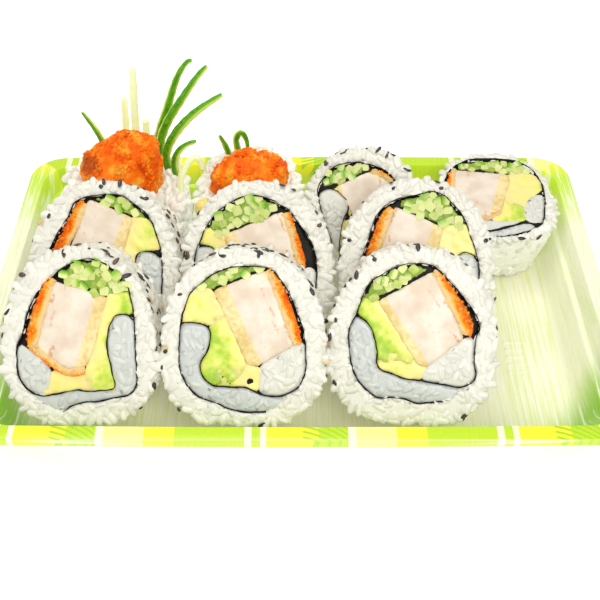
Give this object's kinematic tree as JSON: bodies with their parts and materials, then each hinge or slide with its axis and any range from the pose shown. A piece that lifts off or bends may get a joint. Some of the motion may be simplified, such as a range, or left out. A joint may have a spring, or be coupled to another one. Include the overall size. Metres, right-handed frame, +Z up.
{
  "type": "uramaki sushi tray",
  "caption": "Inside-out sushi rolls of crumbed chicken, cucumber and avocado, leaning in rows in a low rectangular takeaway tray with a flat printed rim and a free corner",
  "frame": {"origin": "centre of the tray's underside, on the table", "axes": "+X along the tray's long side, +Y across it away from the eater, +Z up"},
  "size_m": [0.216, 0.152, 0.0789],
  "materials": {
    "tray_print": "glossy thin pressed sheet, printed in yellow, lime and cream",
    "rice": "moist cooked short-grain rice",
    "crumb": "rough fried breadcrumb",
    "cucumber_green": "moist cucumber peel",
    "cucumber_pale": "moist cucumber flesh",
    "avocado": "soft buttery flesh",
    "nori": "dark seaweed sheet",
    "chicken": "cooked chicken breast",
    "sesame_dark": "dry sesame seed",
    "sesame_light": "dry sesame seed"
  },
  "bodies": {
    "root": {"tray": "tray_print", "slice_front_left": "rice", "slice_front_mid": "rice", "slice_front_right": "rice", "slice_mid_left": "rice", "slice_mid_centre": "rice", "slice_mid_right": "rice", "slice_back": "rice", "slice_flat": "rice", "end_roll_left": "rice", "end_roll_right": "rice", "fried_end_left": "crumb", "fried_end_right": "crumb", "strip_short_green": "cucumber_green", "strip_tall_pale": "cucumber_pale", "strip_pale": "cucumber_pale", "strip_stub": "cucumber_pale", "strip_green_left": "cucumber_green", "strip_green_mid": "cucumber_green", "strip_green_right": "cucumber_green", "strip_green_short": "cucumber_green", "strip_loop_pale": "cucumber_pale", "strip_curl_left": "cucumber_green", "strip_curl_right": "cucumber_green", "avocado_end": "avocado"}
  },
  "joints": []
}
